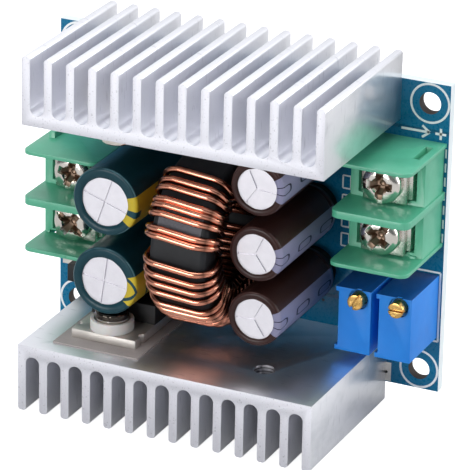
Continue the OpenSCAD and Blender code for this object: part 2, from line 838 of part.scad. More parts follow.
// Chip resistors and capacitors round the two chips
module chip_parts() {
  color("#8a7a66") for (p = part_places) on_back(p[0], low_edge + p[1])
    translate([-part_l / 2, -part_w / 2, 0]) cube([part_l, part_w, part_t]);
}

// A cone of solder over each lead's end
module solder_joints() {
  color("#cfd0d2") for (s = lead_spots) on_back(s[0], s[1]) difference() {
    cylinder(r1 = s[2] + solder_foot, r2 = s[2] + solder_top, h = lead_stub + solder_cap);
    translate([0, 0, -eps]) cylinder(r = s[2] + 0.12, h = lead_stub + eps);
  }
}

circuit_board();
upper_heatsink();
lower_heatsink();
input_terminal_housing();
output_terminal_housing();
input_terminal_contacts();
output_terminal_contacts();
input_washer_upper();
input_washer_lower();
output_washer_upper();
output_washer_lower();
input_screw_upper();
input_screw_lower();
output_screw_upper();
output_screw_lower();
choke_core();
choke_winding();
input_can_upper();
input_can_lower();
input_sleeve_upper();
input_sleeve_lower();
input_capacitor_bungs();
input_capacitor_leads();
output_can_upper();
output_can_middle();
output_can_lower();
output_sleeve_upper();
output_sleeve_middle();
output_sleeve_lower();
output_capacitor_bungs();
output_capacitor_leads();
left_trimmer_case();
right_trimmer_case();
left_trimmer_screw();
right_trimmer_screw();
trimmer_pins();
lower_transistor_tab();
lower_transistor_body();
lower_transistor_leads();
lower_transistor_screw();
insulating_pad();
insulating_bush();
upper_transistor_tab();
upper_transistor_body();
upper_transistor_leads();
upper_transistor_screw();
input_diode();
control_chip();
amplifier_chip();
sense_resistor();
chip_parts();
solder_joints();
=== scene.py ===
# Step-down power supply module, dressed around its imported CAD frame.
# Metres in the row frame: X along the board, +Y towards its solder side, +Z up from the lower fin tips.
import math

import bmesh
import bpy
from mathutils import Matrix, Vector


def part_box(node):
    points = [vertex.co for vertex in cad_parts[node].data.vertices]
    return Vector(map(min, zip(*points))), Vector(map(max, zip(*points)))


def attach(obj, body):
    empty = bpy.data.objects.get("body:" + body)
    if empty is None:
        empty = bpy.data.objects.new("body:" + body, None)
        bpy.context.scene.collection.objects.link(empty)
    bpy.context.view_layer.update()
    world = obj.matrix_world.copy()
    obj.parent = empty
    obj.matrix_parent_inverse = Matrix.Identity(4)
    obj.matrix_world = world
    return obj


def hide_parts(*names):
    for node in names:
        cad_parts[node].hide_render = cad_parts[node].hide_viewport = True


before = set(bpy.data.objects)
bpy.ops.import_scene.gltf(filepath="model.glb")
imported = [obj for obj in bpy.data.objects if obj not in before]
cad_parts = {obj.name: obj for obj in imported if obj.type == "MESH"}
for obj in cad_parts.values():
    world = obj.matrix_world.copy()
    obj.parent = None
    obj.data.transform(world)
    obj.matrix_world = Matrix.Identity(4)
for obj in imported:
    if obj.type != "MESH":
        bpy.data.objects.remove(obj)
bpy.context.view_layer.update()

# Camera: a long lens to the right of the module and above it, as the photograph was taken.
# Its place and tilt come from fitting the board's corners, the heatsink edges and the terminals.
lens_azimuth = math.radians(24.38)
lens_elevation = math.radians(22.52)
lens_roll = math.radians(1.25)
lens_place = (0.20075, -0.43572, 0.22448)
photo_width = 470
focal_pixels = 3723.0

backward = Vector((
    math.sin(lens_azimuth) * math.cos(lens_elevation),
    -math.cos(lens_azimuth) * math.cos(lens_elevation),
    math.sin(lens_elevation),
))
level_right = Vector((math.cos(lens_azimuth), math.sin(lens_azimuth), 0.0))
level_up = backward.cross(level_right)
lens_right = math.cos(lens_roll) * level_right + math.sin(lens_roll) * level_up
lens_up = math.cos(lens_roll) * level_up - math.sin(lens_roll) * level_right

lens = bpy.data.cameras.new("photo_lens")
lens.sensor_width = 36.0
lens.lens = lens.sensor_width * focal_pixels / photo_width
lens.clip_end = 10.0
camera = bpy.data.objects.new("photo_camera", lens)
lens_axes = Matrix((lens_right, lens_up, backward)).transposed().to_4x4()
camera.matrix_world = Matrix.Translation(lens_place) @ lens_axes
bpy.context.collection.objects.link(camera)
bpy.context.scene.camera = camera

# Studio: a white sweep under the module, with a low light in front, one at the right and one above.
# The room is white behind and overhead and dim in front, so that bare metal has something to mirror.
bpy.context.scene.view_settings.view_transform = "Standard"
# Light is handed on many times between the bright walls of the fins.
bpy.context.scene.cycles.glossy_bounces = 10
MM = 0.001


class Flow:
    """A value on its way through a material's nodes; an expression on flows adds its Math nodes."""

    def __init__(self, finish, socket):
        self.finish = finish
        self.socket = socket

    def __add__(self, other):
        return self.finish.math("ADD", self, other)

    def __radd__(self, other):
        return self.finish.math("ADD", other, self)

    def __sub__(self, other):
        return self.finish.math("SUBTRACT", self, other)

    def __rsub__(self, other):
        return self.finish.math("SUBTRACT", other, self)

    def __mul__(self, other):
        return self.finish.math("MULTIPLY", self, other)

    def __rmul__(self, other):
        return self.finish.math("MULTIPLY", other, self)

    def __truediv__(self, other):
        return self.finish.math("DIVIDE", self, other)

    def __rtruediv__(self, other):
        return self.finish.math("DIVIDE", other, self)

    def __pow__(self, other):
        return self.finish.math("POWER", self, other)

    def __mod__(self, other):
        return self.finish.math("FLOORED_MODULO", self, other)

    def __abs__(self):
        return self.finish.math("ABSOLUTE", self)

    def __gt__(self, other):
        return self.finish.math("GREATER_THAN", self, other)

    def __lt__(self, other):
        return self.finish.math("LESS_THAN", self, other)

    def __or__(self, other):
        return self.finish.math("MAXIMUM", self, other)

    def faded(self, start, stop):
        """The value taken from start to stop and held between 0 and 1."""
        span = {"Value": self, "From Min": start, "From Max": stop}
        return self.finish.node("ShaderNodeMapRange", {}, span)


class Finish:
    """A material of the module. Its x, y and z are millimetres of the row frame."""

    def __init__(self, name, **sockets):
        self.material = bpy.data.materials.new(name)
        self.material.use_nodes = True
        self.tree = self.material.node_tree
        self.shader = self.tree.nodes["Principled BSDF"]
        for socket, value in sockets.items():
            self.give(socket.replace("_", " ").title().replace("Ior", "IOR"), value)
        coordinates = self.node("ShaderNodeTexCoord", {}, {}, "Object")
        in_millimetres = {0: coordinates, "Scale": 1 / MM}
        self.place = self.node("ShaderNodeVectorMath", {"operation": "SCALE"}, in_millimetres)
        self.x, self.y, self.z = self.parts(self.place)
        self.nx, self.ny, self.nz = self.parts(self.node("ShaderNodeNewGeometry", {}, {}, "Normal"))

    def node(self, kind, settings, sockets, output=0):
        """A new node: its settings, then its sockets' values or links, and the flow out of it."""
        made = self.tree.nodes.new(kind)
        for name, value in settings.items():
            setattr(made, name, value)
        for name, value in sockets.items():
            self.feed(made.inputs[name], value)
        return Flow(self, made.outputs[output])

    def feed(self, socket, value):
        """Links a flow to a socket, or sets the socket to a plain value."""
        if isinstance(value, Flow):
            self.tree.links.new(value.socket, socket)
        else:
            socket.default_value = value

    def give(self, socket, value):
        """Sets or links one socket of the shader."""
        self.feed(self.shader.inputs[socket], value)

    def parts(self, vector):
        """The three parts of a vector, each as a flow."""
        split = self.node("ShaderNodeSeparateXYZ", {}, {0: vector}).socket.node
        return [Flow(self, output) for output in split.outputs]

    def math(self, operation, *values):
        """One Math node on flows and numbers."""
        return self.node("ShaderNodeMath", {"operation": operation}, dict(enumerate(values)))

    def noise(self, size, stretch=(1, 1, 1), detail=3.0, rough=0.55):
        """Grey noise from 0 to 1 in lumps of about size millimetres, drawn out along the axes by stretch."""
        scaled = self.node(
            "ShaderNodeVectorMath",
            {"operation": "MULTIPLY"},
            {0: self.place, 1: [1.0 / (size * axis) for axis in stretch]},
        )
        sockets = {"Vector": scaled, "Scale": 1.0, "Detail": detail, "Roughness": rough}
        return self.node("ShaderNodeTexNoise", {}, sockets)

    def mix(self, mask, first, second):
        """The first colour where the mask is 0 and the second where it is 1."""
        return self.node("ShaderNodeMix", {"data_type": "RGBA"}, {0: mask, 6: first, 7: second}, 2)

    def relief(self, height, depth):
        """Bumps of depth millimetres where the height goes from 0 to 1."""
        self.give("Normal", self.node("ShaderNodeBump", {}, {"Height": height, "Distance": depth * MM}))

    def coat(self, *pieces):
        """Puts this finish on new pieces, or on CAD nodes by name."""
        for piece in pieces:
            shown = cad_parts[piece] if isinstance(piece, str) else piece
            if not shown.material_slots:
                shown.data.materials.append(self.material)
            for place in shown.material_slots:
                place.material = self.material


sweep_half = 3.0
sweep_corners = [(-1, -1), (1, -1), (1, 1), (-1, 1)]
sweep_mesh = bpy.data.meshes.new("white_sweep")
sweep_mesh.from_pydata([(x * sweep_half, y * sweep_half, 0) for x, y in sweep_corners], [], [(0, 1, 2, 3)])
sweep = bpy.data.objects.new("white_sweep", sweep_mesh)
bpy.context.collection.objects.link(sweep)
# The paper is overexposed to clean white, but bare metal mirrors it as the pale grey that it is.
paper = Finish("sweep_paper", roughness=0.9, specular_ior_level=0.0, emission_strength=1.0)
paper.give("Base Color", (0.55, 0.55, 0.55, 1))
seen_directly = paper.node("ShaderNodeLightPath", {}, {}, "Is Camera Ray")
paper.give("Emission Color", seen_directly * 0.85)
paper.coat(sweep)

module_middle = Vector((0, 0, 0.026))


def soft_light(name, place, size, watts):
    """A square soft light that looks at the middle of the module."""
    lamp = bpy.data.lights.new(name, "AREA")
    lamp.size = size
    lamp.energy = watts
    light = bpy.data.objects.new(name, lamp)
    light.location = place
    light.rotation_euler = (Vector(place) - module_middle).to_track_quat("Z", "Y").to_euler()
    bpy.context.collection.objects.link(light)


soft_light("front_light", (-0.24, -0.89, 0.15), 0.5, 5.5)
soft_light("right_light", (0.78, 0.4, 0.22), 0.6, 4.0)
soft_light("top_light", (0.0, -0.05, 0.95), 0.6, 3.4)

room = bpy.data.worlds.new("studio_room")
bpy.context.scene.world = room
room.use_nodes = True
room_nodes = room.node_tree.nodes
room_links = room.node_tree.links
direction = room_nodes.new("ShaderNodeTexCoord")
behind = room_nodes.new("ShaderNodeVectorMath")
behind.operation = "DOT_PRODUCT"
brightest_way = (0.2, 0.6, 0.75)
behind.inputs[1].default_value = brightest_way
shade = room_nodes.new("ShaderNodeValToRGB")
room_links.new(direction.outputs["Generated"], behind.inputs[0])
room_links.new(behind.outputs["Value"], shade.inputs["Fac"])
shade.color_ramp.elements[0].position = 0.0
shade.color_ramp.elements[0].color = (0.16, 0.17, 0.18, 1)
shade.color_ramp.elements[1].position = 0.6
shade.color_ramp.elements[1].color = (0.95, 0.96, 1.0, 1)
room_links.new(shade.outputs["Color"], room_nodes["Background"].inputs["Color"])
room_nodes["Background"].inputs["Strength"].default_value = 0.95


# Circuit board: glass-fibre laminate with blue solder mask, drilled and routed to size.
# White ink is printed on both sides, and tinned copper is left bare round the leads.
def ink(code):
    """A colour from its screen code, as the shader wants it."""
    levels = [int(code[i:i + 2], 16) / 255 for i in (1, 3, 5)]
    linear = [v / 12.92 if v <= 0.04045 else ((v + 0.055) / 1.055) ** 2.4 for v in levels]
    return (*linear, 1.0)


class Extent:
    """The room that a CAD node takes up, in millimetres: its corners, middle and half sizes."""

    def __init__(self, node):
        self.low, self.high = (Vector(corner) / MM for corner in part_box(node))
        self.mid_x = (self.low.x + self.high.x) / 2
        self.mid_y = (self.low.y + self.high.y) / 2
        self.mid_z = (self.low.z + self.high.z) / 2
        self.half_x = (self.high.x - self.low.x) / 2
        self.half_z = (self.high.z - self.low.z) / 2


def any_of(masks):
    """One mask that is 1 wherever any of the masks is."""
    total = masks[0]
    for mask in masks[1:]:
        total = total | mask
    return total


board = Extent("circuit_board")
face_y = board.low.y
back_y = board.high.y

mask_finish = Finish("blue_solder_mask", specular_ior_level=0.32)
cloudy = mask_finish.noise(7.0)
weave = mask_finish.noise(0.45, detail=1.0)
# Bare laminate shows through the mask as darker lines between the copper areas: from x, z to x, z.
copper_gaps = [
    (-30, 25.9, -16, 25.9), (-16, 14.5, -16, 44.0), (-16, 14.5, 30, 14.5), (-4.5, 14.5, -4.5, 49),
    (5.6, 20.0, 5.6, 42.0), (5.6, 20.0, 18.0, 20.0), (5.6, 42.0, 30, 42.0), (18.0, 20.0, 18.0, 33.0),
    (18.0, 33.0, 30, 33.0),
]
gap_half = 0.25
gap_masks = []
for x0, z0, x1, z1 in copper_gaps:
    across = abs(mask_finish.x - (x0 + x1) / 2) < (x1 - x0) / 2 + gap_half
    upwards = abs(mask_finish.z - (z0 + z1) / 2) < (z1 - z0) / 2 + gap_half
    gap_masks.append(across * upwards)
gap_lines = any_of(gap_masks)
copper_colour = mask_finish.mix(cloudy, ink("#07628a"), ink("#0b7ca5"))
mask_colour = mask_finish.mix(gap_lines * 0.7, copper_colour, ink("#07506f"))
fibre_layers = mask_finish.noise(0.22, (60.0, 1.0, 60.0), 2.0)
fibre_colour = mask_finish.mix(fibre_layers, ink("#cfdde2"), ink("#f6fafa"))
# Inside the holes the cut laminate is painted dark brown: partly its own bare colour, partly painted shade in
# the holes.
hole_wall_colour_and_shade = mask_finish.mix(fibre_layers, ink("#1f1a18"), ink("#4a3f38"))
edge_band = 0.1
short_edge = abs(mask_finish.x) > board.half_x - edge_band
long_edge = abs(mask_finish.z - board.mid_z) > board.half_z - edge_band
cut_face = abs(mask_finish.ny) < 0.5
cut_colour = mask_finish.mix(short_edge | long_edge, hole_wall_colour_and_shade, fibre_colour)
mask_finish.give("Base Color", mask_finish.mix(cut_face, mask_colour, cut_colour))
mask_finish.give("Roughness", 0.24 + 0.08 * weave + 0.4 * cut_face)
mask_finish.relief(weave * 0.3 - gap_lines, 0.03)
mask_finish.coat("circuit_board")


def prism(mesh, outline, near, far, hole=None):
    """Adds a flat solid between two places along Y. Its outline, and its hole, are (x, z) in millimetres."""
    loops = [outline] if hole is None else [outline, hole]
    levels = []
    for depth in (near, far):
        levels.append([[mesh.verts.new((x * MM, depth * MM, z * MM)) for x, z in loop] for loop in loops])
    count = len(outline)
    for i in range(count):
        j = (i + 1) % count
        for loop in range(len(loops)):
            mesh.faces.new((levels[0][loop][i], levels[0][loop][j], levels[1][loop][j], levels[1][loop][i]))
        if hole is not None:
            for level in levels:
                mesh.faces.new((level[0][i], level[0][j], level[1][j], level[1][i]))
    if hole is None:
        mesh.faces.new(levels[0][0])
        mesh.faces.new(levels[1][0])


def made_piece(name, mesh, body="module", stands_for=()):
    """Turns mesh code into a piece that rides on a body and may stand for CAD nodes."""
    bmesh.ops.recalc_face_normals(mesh, faces=mesh.faces)
    data = bpy.data.meshes.new(name)
    mesh.to_mesh(data)
    mesh.free()
    piece = bpy.data.objects.new(name, data)
    bpy.context.collection.objects.link(piece)
    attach(piece, body)
    if stands_for:
        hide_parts(*stands_for)
    return piece


def bar(x0, z0, x1, z1, width):
    """The outline of a straight line of ink or tin from one point to another."""
    along = Vector((x1 - x0, z1 - z0)).normalized()
    across = Vector((-along.y, along.x)) * width / 2
    corners = ((x0, z0, 1), (x0, z0, -1), (x1, z1, -1), (x1, z1, 1))
    return [(x + side * across.x, z + side * across.y) for x, z, side in corners]


def box_lines(x0, z0, x1, z1, width):
    """The four lines of a printed rectangle."""
    sides = ((x0, z0, x1, z0), (x1, z0, x1, z1), (x1, z1, x0, z1), (x0, z1, x0, z0))
    return [(*side, width) for side in sides]


def ring(x, z, radius, count=48):
    """The outline of a circle."""
    turns = [2 * math.pi * i / count for i in range(count)]
    return [(x + radius * math.cos(turn), z + radius * math.sin(turn)) for turn in turns]


ink_proud = 0.02
mark_line = 0.35
mark_z = 41.75
plus_x = 28.76
plus_half_x = 0.81
plus_half_z = 0.82
arrow_tail = 22.9
arrow_tip = 27.1
barb_x = 1.1
barb_z = 0.85
dash_x = 29.66
dash_long = 1.3
ring_outer = 2.97
ring_inner = 2.65
corner_holes = [(x, board.mid_z + z) for x in (-27, 27) for z in (-20, 20)]
# Component side: the trimmers' outline, a plus at the input and one at the output with an arrow to it,
# dashes along the right edge, and the outlines of four small parts.
front_lines = box_lines(18.0, 10.7, 29.65, 21.15, 0.28)
for x in (-plus_x, plus_x):
    front_lines.append((x - plus_half_x, mark_z, x + plus_half_x, mark_z, mark_line))
    front_lines.append((x, mark_z - plus_half_z, x, mark_z + plus_half_z, mark_line))
front_lines.append((arrow_tail, mark_z, arrow_tip, mark_z, mark_line))
for rise in (barb_z, -barb_z):
    front_lines.append((arrow_tip - barb_x, mark_z + rise, arrow_tip, mark_z, mark_line))
for i in range(7):
    dash_z = 25.8 + 2.1 * i
    front_lines.append((dash_x, dash_z, dash_x, dash_z + dash_long, 0.22))
for i in range(4):
    front_lines += box_lines(14.45, 22.5 + 2.9 * i, 15.65, 24.4 + 2.9 * i, 0.24)
# Solder side: outlines round the two chips and the flat resistor.
back_lines = []
for outline in ((-6.0, 6.3, 4.0, 15.7), (12.3, 6.1, 18.1, 15.5), (-2.1, 39.4, 6.1, 43.6)):
    back_lines += box_lines(*outline, 0.2)
legend = bmesh.new()
for side_y, lines in ((face_y, front_lines), (back_y, back_lines)):
    near, far = side_y + ink_proud, side_y - ink_proud
    for x, z in corner_holes:
        prism(legend, ring(x, z, ring_outer), near, far, ring(x, z, ring_inner))
    for line in lines:
        prism(legend, bar(*line), near, far)
legend_piece = made_piece("white_legend", legend)
legend_finish = Finish("legend_ink", roughness=0.55)
legend_finish.give("Base Color", legend_finish.mix(legend_finish.noise(0.5), ink("#eaf1f5"), ink("#ffffff")))
legend_finish.relief(legend_finish.noise(0.12), 0.004)
legend_finish.coat(legend_piece)


def islands(name):
    """The separate solids of a CAD node, each as its lowest and highest corner in millimetres."""
    mesh = bmesh.new()
    mesh.from_mesh(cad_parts[name].data)
    bmesh.ops.remove_doubles(mesh, verts=mesh.verts, dist=1e-7)
    left = set(mesh.verts)
    found = []
    while left:
        reached = [left.pop()]
        for vertex in reached:
            for edge in vertex.link_edges:
                other = edge.other_vert(vertex)
                if other in left:
                    left.remove(other)
                    reached.append(other)
        places = [vertex.co / MM for vertex in reached]
        low = Vector([min(place[axis] for place in places) for axis in range(3)])
        high = Vector([max(place[axis] for place in places) for axis in range(3)])
        found.append((low, high))
    mesh.free()
    return sorted(found, key=lambda corners: (round(corners[0].x, 3), round(corners[0].z, 3)))


lead_joints = islands("solder_joints")
chip_parts = islands("chip_parts")
tin_proud = 0.035
pad_margin = 0.4
pad_lap = 0.3
pad_sides = 32
chip_pad_margin = 0.15
chip_pad_width = 1.1
bare_strips = [(22.0, 3.15, 22.0, 6.0, 1.6), (-28.55, 11.2, -28.55, 15.6, 2.0)]
tin = bmesh.new()
for low, high in lead_joints:
    middle = (low + high) / 2
    reach = (high.x - low.x) / 2
    pad = ring(middle.x, middle.z, reach + pad_margin, pad_sides)
    pad_hole = ring(middle.x, middle.z, reach - pad_lap, pad_sides)
    for near, far in ((face_y + tin_proud, face_y - tin_proud), (back_y - tin_proud, back_y + tin_proud)):
        prism(tin, pad, near, far, pad_hole)
for strip in bare_strips:
    prism(tin, bar(*strip), face_y + tin_proud, face_y - tin_proud)
for low, high in chip_parts:
    for end_x in (low.x, high.x):
        pad = bar(end_x, low.z - chip_pad_margin, end_x, high.z + chip_pad_margin, chip_pad_width)
        prism(tin, pad, back_y - tin_proud, back_y + tin_proud)
tin_piece = made_piece("tinned_pads", tin)
tin_finish = Finish("hot_tinned_copper", metallic=1.0)
tin_finish.give("Base Color", tin_finish.mix(tin_finish.noise(1.2), ink("#c9c5bf"), ink("#efebe4")))
tin_finish.give("Roughness", 0.3 + 0.25 * tin_finish.noise(0.8))
tin_finish.relief(tin_finish.noise(0.9), 0.05)
tin_finish.coat(tin_piece)

# Small plated holes: the mask covers them up to their bores.
# The last one is in the bare strip at the lower right corner.
via_places = [(12.02, 13.59), (-8.6, 44.6), (-2.2, 45.8), (3.8, 45.2), (13.5, 45.9)]
via_places += [(-20.5, 16.2), (8.2, 15.9), (24.6, 6.6), (22.08, 4.5)]
via_radius = 0.22
via_sunk = 0.02
via_proud = 0.045
via_bores = bmesh.new()
for x, z in via_places:
    for near, far in ((face_y + via_sunk, face_y - via_proud), (back_y - via_sunk, back_y + via_proud)):
        prism(via_bores, ring(x, z, via_radius, 24), near, far)
via_piece = made_piece("plated_hole_bores", via_bores)
# The bores are dark discs: painted shade in the holes.
via_finish = Finish("hole_shade", roughness=0.6)
via_finish.give("Base Color", via_finish.mix(via_finish.noise(0.2), ink("#0b0d10"), ink("#20262b")))
via_finish.relief(via_finish.noise(0.1), 0.004)
via_finish.coat(via_piece)


# Heatsinks: two lengths of finned aluminium extrusion in natural finish, sawn square at both ends.
# The flat face is drilled and tapped for the transistors, and the board's edge stands against one end.
def eased(name, width, steps=2, body="module"):
    """A copy of a CAD node with its sharp edges broken by width millimetres, as tumbling or moulding does."""
    mesh = bmesh.new()
    mesh.from_mesh(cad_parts[name].data)
    bmesh.ops.remove_doubles(mesh, verts=mesh.verts, dist=1e-7)
    bmesh.ops.dissolve_limit(mesh, angle_limit=math.radians(0.5), verts=mesh.verts, edges=mesh.edges)
    return smoothed(name + "_eased", mesh, width, steps, body, (name,))


def smoothed(name, mesh, width, steps, body, stands_for):
    """A piece from mesh code with its sharp edges broken and its round faces shaded smooth."""
    sharp = [edge for edge in mesh.edges if edge.is_manifold and edge.calc_face_angle() > math.radians(30)]
    bmesh.ops.bevel(
        mesh, geom=sharp, offset=width * MM, segments=steps, profile=0.5, affect="EDGES", clamp_overlap=True
    )
    for face in mesh.faces:
        face.smooth = True
    piece = made_piece(name, mesh, body, stands_for)
    piece.data.set_sharp_from_angle(angle=math.radians(40))
    return piece


aluminium = Finish("sawn_and_drawn_aluminium", metallic=1.0, coat_roughness=0.12, coat_ior=1.77)
sawn_end = abs(aluminium.ny) > 0.8
draw_lines = aluminium.noise(0.09, (1.0, 250.0, 1.0), 2.0)
saw_grain = aluminium.noise(0.16, detail=2.0)
specks = aluminium.noise(0.3, detail=1.0).faded(0.66, 0.74)
streaks = draw_lines.faded(0.38, 0.62)
handling = aluminium.noise(7.0, (1.0, 1.6, 1.0), 4.0)
scuffs = aluminium.noise(0.5, (6.0, 1.0, 6.0), 3.0).faded(0.62, 0.72)
drawn_colour = aluminium.mix(handling, ink("#f0f1f6"), ink("#fafafd"))
drawn_colour = aluminium.mix(scuffs * 0.4, drawn_colour, ink("#c2c2c8"))
sawn_colour = aluminium.mix(saw_grain, ink("#dcdce2"), ink("#eeeef4"))
sawn_colour = aluminium.mix(specks * 0.4, sawn_colour, ink("#a4a4aa"))
# The spare tapped hole of each flat face is painted darker, in bands along its thread: painted shade in the
# hole.
# It lies as far from the middle of the heatsink as the transistor's screw does, on the other side.
tapped_radius = 1.58
plate_deep = 2.5
side_band = 0.2
bore_masks = []
side_masks = []
for level in ("upper", "lower"):
    sink = Extent(level + "_heatsink")
    screw = Extent(level + "_transistor_screw")
    bore_x = aluminium.x - (2 * sink.mid_x - screw.mid_x)
    bore_y = aluminium.y - screw.mid_y
    flat_z = sink.low.z if level == "upper" else sink.high.z
    in_plate = abs(aluminium.z - flat_z) < plate_deep
    in_bore = bore_x * bore_x + bore_y * bore_y < tapped_radius ** 2
    bore_masks.append(in_bore * (abs(aluminium.nz) < 0.9) * in_plate)
    aside = abs(aluminium.x - sink.mid_x) > sink.half_x - side_band
    side_masks.append(aside * (abs(aluminium.z - sink.mid_z) < sink.half_z))
tapped_hole_shade = any_of(bore_masks)
outer_side = any_of(side_masks)
thread_shade_colour = aluminium.mix((aluminium.z % 0.5).faded(0.1, 0.3), ink("#6b6a6d"), ink("#c0bfc4"))
# Fingers have left dull smudges on the outer sides.
smudges = aluminium.noise(3.4, (1.0, 1.6, 1.0), 4.0).faded(0.5, 0.75)
drawn_colour = aluminium.mix(outer_side * smudges * 0.3, drawn_colour, ink("#a9b0b6"))
sink_colour = aluminium.mix(sawn_end, drawn_colour, sawn_colour)
aluminium.give("Base Color", aluminium.mix(tapped_hole_shade, sink_colour, thread_shade_colour))
aluminium.give("Coat Weight", (1 - sawn_end) * (0.1 + 0.5 * outer_side))
flat_face = abs(aluminium.nz) > 0.8
# The outer sides are smoother than the rest, and so is the lower length, less so on its flat face.
smoother = outer_side | (aluminium.z < board.mid_z) * (1 - 0.4 * flat_face)
drawn_rough = 0.42 + 0.06 * handling + 0.05 * streaks + 0.06 * scuffs - 0.13 * smoother
aluminium.give("Roughness", (1 - sawn_end) * drawn_rough + sawn_end * (0.6 + 0.12 * saw_grain))
aluminium.relief((1 - sawn_end) * draw_lines * 0.04 + sawn_end * saw_grain, 0.012)
for level in ("upper", "lower"):
    aluminium.coat(eased(level + "_heatsink", 0.12))


# Power transistors: a nickel-plated copper tab and a black moulded body, screwed flat on each heatsink.
# The lower tab sits on a grey insulating pad, and a white nylon bush keeps its screw off the tab.
def plated(name, dark, light, rough, grain=0.3, depth=0.006, detail=3.0):
    """Bright plating with faint rubbing marks and slight clouds in its tone."""
    finish = Finish(name, metallic=1.0)
    finish.tone = finish.mix(finish.noise(1.6), ink(dark), ink(light))
    finish.give("Base Color", finish.tone)
    finish.give("Roughness", rough + 0.12 * finish.noise(0.5))
    finish.relief(finish.noise(grain, detail=detail), depth)
    return finish


def moulded(name, dark, light, rough, grain=0.18, depth=0.012):
    """Moulded plastic or epoxy: a fine matt grain, and a tone that wanders a little."""
    finish = Finish(name)
    finish.tone = finish.mix(finish.noise(2.5), ink(dark), ink(light))
    finish.give("Base Color", finish.tone)
    finish.give("Roughness", rough + 0.12 * finish.noise(0.9))
    finish.relief(finish.noise(grain, detail=2.0), depth)
    return finish


tab_plate = plated("nickel_plated_tab", "#cbc6c1", "#e2ddd7", 0.48)
# The lower screw's dark tone is a painted reflection of the dark capacitor above it.
screw_plates = {
    "lower": plated("nickel_screw_painted_dark", "#35312d", "#5f5851", 0.03, 0.5, 0.14, 1.0),
    "upper": plated("nickel_plated_screw", "#d6cfc4", "#f6f1e8", 0.12),
}
# The lower screw is knocked about, and its foot is painted bright: a painted reflection of the white bush.
reflection_dark_screw = screw_plates["lower"]
bush_reflection_below = Extent("insulating_bush").high.z + 0.28
painted_bush_reflection = reflection_dark_screw.z < bush_reflection_below
reflection_dark_screw.give("Base Color", reflection_dark_screw.mix(painted_bush_reflection, reflection_dark_screw.tone, ink("#e4e0da")))
black_epoxy = moulded("black_epoxy", "#0c0c0e", "#18181b", 0.55)
tinned_lead = plated("tinned_lead", "#b4b6b8", "#dcdcda", 0.25)
pad_finish = moulded("grey_silicone_pad", "#958e8c", "#aaa3a0", 0.65, 0.5, 0.03)
bush_finish = moulded("white_nylon", "#cfcdca", "#e0dedb", 0.4)
bush_finish.give("Subsurface Weight", 0.25)
bush_finish.give("Subsurface Scale", 0.0006)
for level in ("lower", "upper"):
    tab_plate.coat(eased(level + "_transistor_tab", 0.08))
    black_epoxy.coat(eased(level + "_transistor_body", 0.15))
    tinned_lead.coat(level + "_transistor_leads")
    screw_plates[level].coat(eased(level + "_transistor_screw", 0.06))
pad_finish.coat(eased("insulating_pad", 0.04))
bush_finish.coat(eased("insulating_bush", 0.15, 3))


# Screw terminals: two-way barrier strips moulded in green plastic, with three dividers each.
# A tinned contact lies in each way, under a square washer that a nickel-plated screw presses down.
def turned(mesh, x, z, profile, count=48):
    """Adds a solid turned round a line along Y. Its profile is (radius, y), from one end to the other."""
    circles = []
    for radius, y in profile:
        points = ring(x, z, radius, count) if radius else [(x, z)]
        circles.append([mesh.verts.new((px * MM, y * MM, pz * MM)) for px, pz in points])
    for first, second in zip(circles, circles[1:]):
        for k in range(count):
            m = (k + 1) % count
            around = ((first, k), (first, m), (second, m), (second, k))
            corners = [circle[step % len(circle)] for circle, step in around]
            mesh.faces.new(list(dict.fromkeys(corners))).smooth = True
    for end in (circles[0], circles[-1]):
        if len(end) > 1:
            mesh.faces.new(end)


def tapered(x, z, turn, rims):
    """A four-sided cutter, as mesh code. Each rim is (y, length, width), turned in the board's plane."""
    mesh = bmesh.new()
    along = Vector((math.cos(turn), math.sin(turn)))
    across = Vector((-along.y, along.x))
    loops = []
    for y, length, width in rims:
        loop = []
        for i, j in ((-1, -1), (1, -1), (1, 1), (-1, 1)):
            place = Vector((x, z)) + along * i * length / 2 + across * j * width / 2
            loop.append(mesh.verts.new((place.x * MM, y * MM, place.y * MM)))
        loops.append(loop)
        mesh.faces.new(loop)
    for k in range(4):
        m = (k + 1) % 4
        mesh.faces.new((loops[0][k], loops[0][m], loops[1][m], loops[1][k]))
    return mesh


def scratch_object(mesh):
    """An object for one cut only, from mesh code."""
    bmesh.ops.recalc_face_normals(mesh, faces=mesh.faces)
    data = bpy.data.meshes.new("scratch")
    mesh.to_mesh(data)
    mesh.free()
    item = bpy.data.objects.new("scratch", data)
    bpy.context.collection.objects.link(item)
    return item


def carved(mesh, cutters):
    """The mesh code with the cutters taken out of it."""
    blank = scratch_object(mesh)
    tools = [scratch_object(cutter) for cutter in cutters]
    for tool in tools:
        cut = blank.modifiers.new("cut", "BOOLEAN")
        cut.operation = "DIFFERENCE"
        cut.solver = "EXACT"
        cut.object = tool
    result = bmesh.new()
    result.from_object(blank, bpy.context.evaluated_depsgraph_get())
    for item in [blank] + tools:
        data = item.data
        bpy.data.objects.remove(item)
        bpy.data.meshes.remove(data)
    return result


